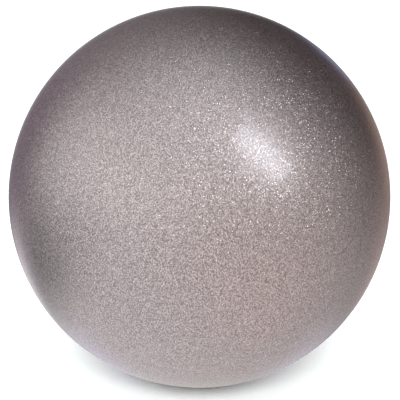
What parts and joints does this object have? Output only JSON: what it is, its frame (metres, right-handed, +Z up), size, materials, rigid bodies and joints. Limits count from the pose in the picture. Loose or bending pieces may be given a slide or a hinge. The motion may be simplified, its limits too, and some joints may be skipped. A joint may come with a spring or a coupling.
{
  "type": "rhythmic gymnastics ball",
  "caption": "Hollow rubber gymnastics ball with a glittering glossy skin and a needle valve under a flush pull-out plug.",
  "frame": {"origin": "on the floor, at the middle of the small flat on which the ball rests, straight under its centre", "axes": "+Z up through the ball's centre; +Y along the valve's axis, out of the ball; the picture looks along +Y, so the valve is on the far side"},
  "size_m": [0.19, 0.19, 0.1895],
  "materials": {
    "silver_glitter": "gloss",
    "seat_rubber": "matte",
    "core_rubber": "matte",
    "plug_rubber": "satin"
  },
  "bodies": {
    "ball": {"ball_shell": "silver_glitter", "valve_seat": "seat_rubber", "valve_core": "core_rubber"},
    "plug": {"valve_plug": "plug_rubber"}
  },
  "joints": [
    {"name": "plug_pull", "type": "slide", "parent": "ball", "child": "plug", "axis": [0, 1, 0], "range_m": [0, 0.02]}
  ]
}
